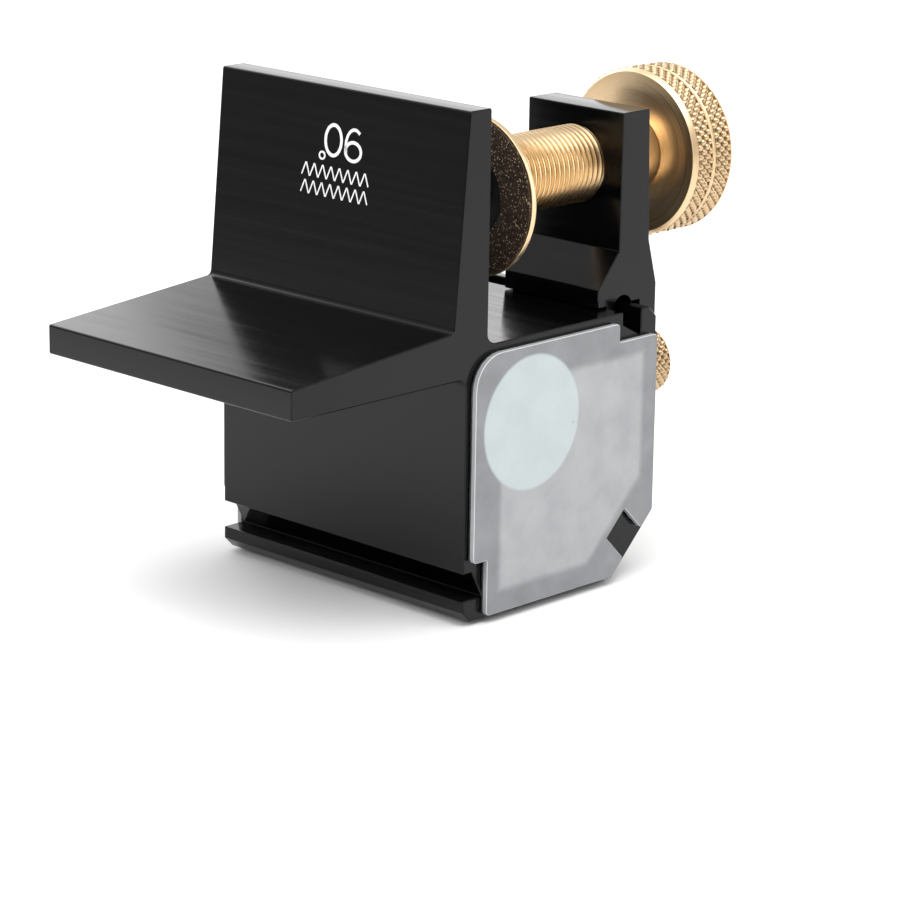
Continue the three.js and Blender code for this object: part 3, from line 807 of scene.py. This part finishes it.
rim_left, rim_right = KNOB_LEFT + KNOB_CHAMFER, KNOB_RIGHT - KNOB_CHAMFER
knob_profile = bevelled([
    (SPIGOT_RIGHT + PRESS_GAP, 0), (SPIGOT_RIGHT + PRESS_GAP, SPIGOT_RADIUS + PRESS_GAP),
    (KNOB_LEFT, SPIGOT_RADIUS + PRESS_GAP), (KNOB_LEFT, KNOB_FACE_RADIUS), (rim_left, KNOB_RADIUS - 0.05),
    (rim_left, KNOB_CORE), (KNOB_GROOVE_LEFT, KNOB_CORE), (KNOB_GROOVE_LEFT, KNOB_RADIUS - 0.02),
    (KNOB_GROOVE_LEFT + KNOB_GROOVE_SLOPE, KNOB_RADIUS - KNOB_GROOVE_DEPTH),
    (KNOB_GROOVE_RIGHT - KNOB_GROOVE_SLOPE, KNOB_RADIUS - KNOB_GROOVE_DEPTH),
    (KNOB_GROOVE_RIGHT, KNOB_RADIUS - 0.02), (KNOB_GROOVE_RIGHT, KNOB_CORE), (rim_right, KNOB_CORE),
    (rim_right, KNOB_RADIUS - 0.05), (KNOB_RIGHT, KNOB_FACE_RADIUS), (KNOB_RIGHT, DISH_RADIUS),
    (KNOB_RIGHT - DISH_DEPTH, DISH_RADIUS - DISH_DEPTH), (KNOB_RIGHT - DISH_DEPTH, 0)], radius=0.04)
knurled_knob("clamp_knob_knurled", knob_profile,
             [(rim_left, KNOB_GROOVE_LEFT, KNOB_RADIUS), (KNOB_GROOVE_RIGHT, rim_right, KNOB_RADIUS)],
             KNURL_DEPTH, KNURL_TEETH, KNURL_ROWS, SCREW_Y, SCREW_Z, "screw", ["clamp_knob"], BRASS_KNURL)

# ---------------------------------------------------------------- pressure disc and the pieces inside it
# the disc, its facing and the bush hang a little low on the oversize bore
DISC_FRONT, DISC_BACK, DISC_RADIUS = 13.9, 15.0, 11.75
RECESS_RADIUS, RECESS_FLOOR = 5.85, 14.6
FACING_LEFT, FACING_RIGHT, FACING_HOLE, FACING_RADIUS = 13.5, 13.85, 6.0, 11.55
DISC_BORE = 3.45
BUSH_LEFT, BUSH_RIGHT, BUSH_RADIUS = 14.2, 14.55, 5.8
HEAD_LEFT, HEAD_RIGHT, HEAD_FACE_RADIUS, HEAD_RADIUS = 13.6, 14.15, 2.85, 3.8
DISC_SCREW_RADIUS, DISC_SCREW_END = 1.5, 22.8
HEX_RADIUS, HEX_DEPTH = 1.2, 0.4
WASHER_LEFT, WASHER_RIGHT, WASHER_BORE, WASHER_RADIUS = 15.05, 15.35, 1.7, 5.3


def ring(left, right, hole, radius):
    """The profile of a plain ring."""
    return [(left, hole), (left, radius), (right, radius), (right, hole), (left, hole)]


disc_profile = [
    (DISC_FRONT, RECESS_RADIUS), (DISC_FRONT, DISC_RADIUS), (DISC_BACK - 0.25, DISC_RADIUS),
    (DISC_BACK, DISC_RADIUS - 0.35), (DISC_BACK, DISC_BORE), (RECESS_FLOOR, DISC_BORE),
    (RECESS_FLOOR, RECESS_RADIUS), (DISC_FRONT, RECESS_RADIUS)]
mesh_object("pressure_disc_turned", *turned(bevelled(disc_profile, radius=0.1), SCREW_Y, DISC_Z,
            segments=144), "presser", "brass", BRASS, ["pressure_disc"])
facing = bevelled(ring(FACING_LEFT, FACING_RIGHT, FACING_HOLE, FACING_RADIUS), radius=0.08)
mesh_object("grip_facing_ring", *turned(facing, SCREW_Y, DISC_Z, segments=144), "presser", "grit",
            GRIT, ["grip_facing"])
bush = bevelled(ring(BUSH_LEFT, BUSH_RIGHT, DISC_BORE, BUSH_RADIUS), radius=0.06)
mesh_object("disc_bush_ring", *turned(bush, SCREW_Y, DISC_Z), "presser", "black_plastic", BLACK_PLASTIC,
            ["disc_bush"])
button = bevelled([
    (HEAD_LEFT, 0), (HEAD_LEFT, HEAD_FACE_RADIUS), (HEAD_LEFT + 0.28, HEAD_RADIUS), (HEAD_RIGHT, HEAD_RADIUS),
    (HEAD_RIGHT, DISC_SCREW_RADIUS), (DISC_SCREW_END, DISC_SCREW_RADIUS), (DISC_SCREW_END, 0)], radius=0.08)
disc_screw = mesh_object("disc_screw_button", *turned(button, SCREW_Y, SCREW_Z, segments=64), "screw",
                         "black_steel", BLACK_STEEL, ["disc_screw"])
hexagon = [(13, 0), (13, HEX_RADIUS), (HEAD_LEFT + HEX_DEPTH, HEX_RADIUS), (HEAD_LEFT + HEX_DEPTH, 0)]
cut(disc_screw, cutter(*turned(hexagon, SCREW_Y, SCREW_Z, segments=6)))
washer = bevelled(ring(WASHER_LEFT, WASHER_RIGHT, WASHER_BORE, WASHER_RADIUS), radius=0.05)
mesh_object("thrust_washer_ring", *turned(washer, SCREW_Y, SCREW_Z, segments=64), "screw", "bronze",
            BRONZE, ["thrust_washer"])

# ---------------------------------------------------------------- lock screw
LOCK_TIP_LEFT, LOCK_TIP_RIGHT, LOCK_TIP_RADIUS = 40.3, 41.15, 1.6
STUD_LEFT, STUD_RIGHT, STUD_CREST, STUD_ROOT, STUD_CORE = 41.2, 51.2, 2.0, 1.65, 1.7
STUD_THREAD_LEFT, STUD_THREAD_RIGHT, STUD_PITCH = 41.25, 46.2, 0.7
COLLAR_LEFT, COLLAR_RIGHT, COLLAR_RADIUS = 45.6, 47.0, 3.4
LOCK_KNOB_RIGHT, LOCK_KNOB_RADIUS, LOCK_KNOB_FACE_RADIUS, LOCK_KNOB_CHAMFER = 53.2, 5.2, 4.7, 0.5
LOCK_KNURL_DEPTH, LOCK_KNURL_TEETH, LOCK_KNURL_ROWS = 0.45, 22, 7

tip = bevelled([(LOCK_TIP_LEFT, 0), (LOCK_TIP_LEFT, LOCK_TIP_RADIUS), (LOCK_TIP_RIGHT, LOCK_TIP_RADIUS),
                (LOCK_TIP_RIGHT, 0)], radius=0.2)
mesh_object("lock_tip_nylon", *turned(tip, SCREW_Y, LOCK_Z, segments=48), "lock_pad", "nylon", NYLON,
            ["lock_tip"])
stud = joined(
    threaded(STUD_THREAD_LEFT, STUD_THREAD_RIGHT, STUD_CREST, STUD_ROOT, STUD_PITCH, SCREW_Y, LOCK_Z,
             segments=48),
    turned([(STUD_LEFT, 0), (STUD_LEFT, STUD_CORE), (STUD_RIGHT, STUD_CORE), (STUD_RIGHT, 0)],
           SCREW_Y, LOCK_Z, segments=48))
mesh_object("lock_stud_thread", *stud, "lock_screw", "brass", LOCK_THREAD, ["lock_stud"], sharp=50)

band_left, band_right = COLLAR_RIGHT + LOCK_KNOB_CHAMFER, LOCK_KNOB_RIGHT - LOCK_KNOB_CHAMFER
lock_profile = bevelled([
    (STUD_RIGHT + PRESS_GAP, 0), (STUD_RIGHT + PRESS_GAP, STUD_CREST + PRESS_GAP),
    (COLLAR_LEFT, STUD_CREST + PRESS_GAP), (COLLAR_LEFT, COLLAR_RADIUS), (COLLAR_RIGHT, COLLAR_RADIUS),
    (COLLAR_RIGHT, LOCK_KNOB_FACE_RADIUS), (band_left, LOCK_KNOB_RADIUS - 0.1),
    (band_left, LOCK_KNOB_RADIUS - 0.6), (band_right, LOCK_KNOB_RADIUS - 0.6),
    (band_right, LOCK_KNOB_RADIUS - 0.1), (LOCK_KNOB_RIGHT, LOCK_KNOB_FACE_RADIUS),
    (LOCK_KNOB_RIGHT, 0)], radius=0.04)
knurled_knob("lock_knob_knurled", lock_profile, [(band_left, band_right, LOCK_KNOB_RADIUS)],
             LOCK_KNURL_DEPTH, LOCK_KNURL_TEETH, LOCK_KNURL_ROWS, SCREW_Y, LOCK_Z, "lock_screw",
             ["lock_knob"], LOCK_KNURL)

# ---------------------------------------------------------------- floor, light and world (metres)
FLOOR_HALF = 3.0
FLOOR_Z = -0.0006


def lay_floor():
    """A pale floor a little below the object."""
    mesh = bpy.data.meshes.new("floor")
    signs = ((-1, -1), (1, -1), (1, 1), (-1, 1))
    mesh.from_pydata([(x * FLOOR_HALF, y * FLOOR_HALF, FLOOR_Z) for x, y in signs], [], [(0, 1, 2, 3)])
    floor = bpy.data.objects.new("floor", mesh)
    bpy.context.scene.collection.objects.link(floor)
    paper = Nodes("paper", Roughness=0.9)
    tone = paper.ramp(paper.noise(3, detail=2), (0.3, (0.9, 0.9, 0.9)), (0.7, (0.92, 0.92, 0.92)))
    paper.to("Base Color", tone)
    floor.data.materials.append(paper.material)


def soft_box(name, at, aim, size, power):
    data = bpy.data.lights.new(name, "AREA")
    data.shape, data.size, data.size_y = "RECTANGLE", size[0], size[1]
    data.energy = power
    obj = bpy.data.objects.new(name, data)
    obj.location = at
    obj.rotation_euler = (Vector(aim) - Vector(at)).to_track_quat("-Z", "Y").to_euler()
    bpy.context.scene.collection.objects.link(obj)


def light_world():
    """A white sky that turns grey towards and below the horizon."""
    world = bpy.data.worlds.new("world")
    world.use_nodes = True
    nodes, links = world.node_tree.nodes, world.node_tree.links
    direction = nodes.new("ShaderNodeTexCoord")
    height = nodes.new("ShaderNodeSeparateXYZ")
    fade = nodes.new("ShaderNodeValToRGB")
    links.new(direction.outputs["Generated"], height.inputs["Vector"])
    links.new(height.outputs["Z"], fade.inputs["Fac"])
    links.new(fade.outputs["Color"], nodes["Background"].inputs["Color"])
    for element, position, grey in zip(fade.color_ramp.elements, (0.08, 0.75), (0.42, 1)):
        element.position = position
        element.color = (grey, grey, grey, 1)
    nodes["Background"].inputs["Strength"].default_value = 1.0
    bpy.context.scene.world = world


lay_floor()
soft_box("key", at=(-0.25, -0.2, 0.75), aim=(0, 0, 0.03), size=(0.7, 0.7), power=5.0)
soft_box("left", at=(-0.7, 0.1, 0.3), aim=(0, 0, 0.03), size=(0.4, 0.5), power=1.0)
soft_box("right", at=(0.5, -0.6, 0.3), aim=(0, 0, 0.04), size=(0.4, 0.6), power=1.4)
soft_box("behind", at=(0.1, 0.8, 0.5), aim=(0, 0, 0.03), size=(0.8, 0.5), power=2.5)
soft_box("horizon", at=(0.8, 0.77, 0.34), aim=(0, 0, 0.04), size=(0.9, 0.4), power=1.5)
light_world()
